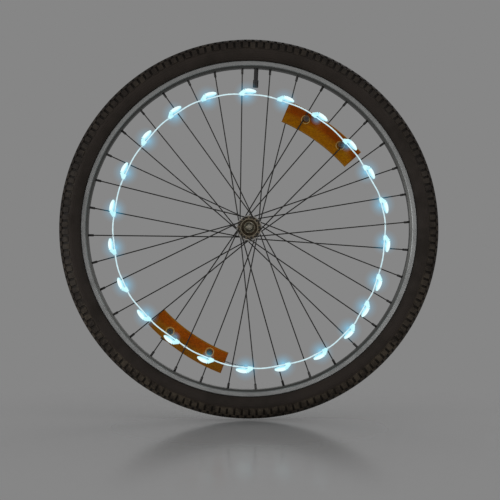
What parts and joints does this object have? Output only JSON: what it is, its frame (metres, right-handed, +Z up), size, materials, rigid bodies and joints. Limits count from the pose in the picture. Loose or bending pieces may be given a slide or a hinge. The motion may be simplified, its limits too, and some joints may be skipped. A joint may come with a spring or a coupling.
{
  "type": "bicycle wheel with spoke light string",
  "caption": "Spoked bicycle front wheel with a string of lit lamps tied in a ring to its spokes, amber spoke reflectors and a battery case with sliding lid and push button.",
  "frame": {"origin": "centre of the wheel, on the axle midway between the locknuts", "axes": "+Y along the axle, away from the lamp side; +Z up; seen from the lamp side +X is to the right"},
  "size_m": [0.6479, 0.1462, 0.648],
  "materials": {
    "axle_steel": "satin",
    "bearing_steel": "ground",
    "plated_steel": "bright plating",
    "hub_alloy": "turned",
    "rim_alloy": "brushed",
    "spoke_black": "dark coating",
    "nipple_black": "dark plating",
    "tape_rubber": "smooth",
    "tyre_rubber": "matt with tread blocks",
    "tube_rubber": "smooth",
    "valve_rubber": "smooth",
    "valve_brass": "turned",
    "cap_plastic": "matt",
    "amber_lens": "prismatic",
    "amber_shell": "smooth",
    "clamp_plastic": "smooth",
    "screw_steel": "dark zinc",
    "cord_vinyl": "translucent",
    "socket_plastic": "translucent",
    "lens_plastic": "frosted, lit",
    "lamp_die": "lit",
    "tie_nylon": "smooth",
    "lead_vinyl": "smooth",
    "gland_rubber": "smooth",
    "case_plastic": "fine grain",
    "cell_steel": "bright",
    "contact_metal": "plated",
    "board_green": "coated",
    "switch_plastic": "smooth",
    "button_rubber": "smooth"
  },
  "bodies": {
    "axle_set": {"axle": "axle_steel", "cone_front": "bearing_steel", "cone_back": "bearing_steel", "lock_washers": "bearing_steel", "locknuts": "bearing_steel", "axle_washers": "plated_steel", "axle_nuts": "plated_steel"},
    "wheel": {"bearing_cups": "bearing_steel", "dust_caps": "plated_steel", "hub_shell": "hub_alloy", "rim": "rim_alloy", "spokes_front": "spoke_black", "spokes_back": "spoke_black", "spoke_nipples": "nipple_black", "rim_tape": "tape_rubber", "tyre": "tyre_rubber", "tread_blocks": "tyre_rubber", "inner_tube": "tube_rubber", "valve_stem": "valve_rubber", "valve_core": "valve_brass", "reflector_lens_upper": "amber_lens", "reflector_lens_lower": "amber_lens", "reflector_shell_upper": "amber_shell", "reflector_shell_lower": "amber_shell", "reflector_clamps": "clamp_plastic", "reflector_screws": "screw_steel", "deck_screws": "screw_steel", "light_cord": "cord_vinyl", "lamp_sockets": "socket_plastic", "lamp_lenses": "lens_plastic", "lamp_dies": "lamp_die", "cord_ties": "tie_nylon", "case_ties": "tie_nylon", "feed_lead": "lead_vinyl", "lead_gland": "gland_rubber", "battery_case": "case_plastic", "case_deck": "case_plastic", "coin_cells": "cell_steel", "cell_contacts": "contact_metal", "control_board": "board_green", "tact_switch": "switch_plastic"},
    "ball_sets": {"bearing_balls": "bearing_steel"},
    "battery_lid": {"battery_lid": "case_plastic"},
    "switch_button": {"switch_button": "button_rubber"},
    "valve_cap": {"valve_cap": "cap_plastic"}
  },
  "joints": [
    {"name": "wheel_spin", "type": "hinge", "parent": "axle_set", "child": "wheel", "pos_m": [0, 0, 0], "axis": [0, 1, 0], "continuous": true},
    {"name": "ball_orbit", "type": "hinge", "parent": "axle_set", "child": "ball_sets", "pos_m": [0, 0, 0], "axis": [0, 1, 0], "continuous": true},
    {"name": "battery_lid_slide", "type": "slide", "parent": "wheel", "child": "battery_lid", "axis": [-0.8862, 0, 0.4633], "range_m": [0, 0.03]},
    {"name": "button_press", "type": "slide", "parent": "wheel", "child": "switch_button", "axis": [0.0642, -0.9904, 0.1227], "range_m": [0, 0.001], "stiffness_N_per_m": 1500},
    {"name": "valve_cap_slide", "type": "slide", "parent": "wheel", "child": "valve_cap", "axis": [-0.0454, 0, -0.999], "range_m": [0, 0.014]}
  ],
  "couplings": [
    {"joint": "ball_orbit", "follows": "wheel_spin", "ratio": 0.5897}
  ]
}
